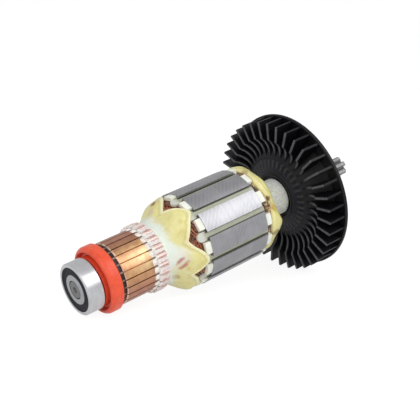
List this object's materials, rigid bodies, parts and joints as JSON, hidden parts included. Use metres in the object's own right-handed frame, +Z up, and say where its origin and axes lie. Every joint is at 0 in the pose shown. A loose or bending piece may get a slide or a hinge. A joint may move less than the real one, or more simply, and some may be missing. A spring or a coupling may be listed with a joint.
{
  "type": "motor armature",
  "caption": "Wound motor armature lying at rest, with copper commutator, slotted core, end bearing, cooling fan and cut pinion.",
  "frame": {"origin": "on the shaft axis, at the middle of the commutator-end bearing's width", "axes": "+Z up, square to the surface that the part lies on; +X along the shaft as seen from above, from the bearing to the pinion, with the shaft climbing towards the pinion; +Y to the left of that"},
  "size_m": [0.1498, 0.072, 0.0718],
  "materials": {
    "shaft_steel": "turned and ground steel, darker machined pinion",
    "bearing_steel": "ground and polished bearing steel",
    "seal_rubber": "matt black moulded rubber",
    "cage_plastic": "moulded nylon",
    "orange_plastic": "satin orange moulding",
    "phenolic": "dark phenolic moulding",
    "bush_steel": "drawn steel tube",
    "bar_copper": "turned copper with fine lathe lines",
    "lead_copper": "copper wire dusted with resin",
    "enamelled_copper": "dark red enamelled copper wire",
    "core_steel": "ground edges of steel laminations",
    "insulator_plastic": "off-white moulded plate",
    "liner_paper": "off-white insulating paper",
    "wedge_fibre": "grey olive fibre strip",
    "winding_resin": "waxy pale yellow resin, whiter at the neck",
    "tube_plastic": "off-white moulded tube",
    "fan_plastic": "black satin moulding"
  },
  "bodies": {
    "rotor": {"shaft": "shaft_steel", "bearing_inner_ring": "bearing_steel", "dust_ring": "orange_plastic", "commutator_bush": "bush_steel", "commutator_moulding": "phenolic", "commutator_bars": "bar_copper", "lead_wires": "lead_copper", "insulating_tube": "tube_plastic", "lamination_core": "core_steel", "front_end_insulator": "insulator_plastic", "rear_end_insulator": "insulator_plastic", "slot_liners": "liner_paper", "slot_coils": "enamelled_copper", "slot_wedges": "wedge_fibre", "front_coil_ends": "enamelled_copper", "front_winding_resin": "winding_resin", "rear_coil_ends": "enamelled_copper", "rear_winding_resin": "winding_resin", "fan": "fan_plastic"},
    "bearing_race": {"bearing_outer_ring": "bearing_steel", "bearing_front_seal": "seal_rubber", "bearing_rear_seal": "seal_rubber"},
    "ball_train": {"bearing_balls": "bearing_steel", "bearing_cage": "cage_plastic"}
  },
  "joints": [
    {"name": "bearing_spin", "type": "hinge", "parent": "rotor", "child": "bearing_race", "pos_m": [0, 0, 0], "axis": [0.9776, 0, 0.2107], "continuous": true},
    {"name": "ball_train_spin", "type": "hinge", "parent": "rotor", "child": "ball_train", "pos_m": [0, 0, 0], "axis": [0.9776, 0, 0.2107], "continuous": true}
  ],
  "couplings": [
    {"joint": "ball_train_spin", "follows": "bearing_spin", "ratio": 0.63056}
  ]
}
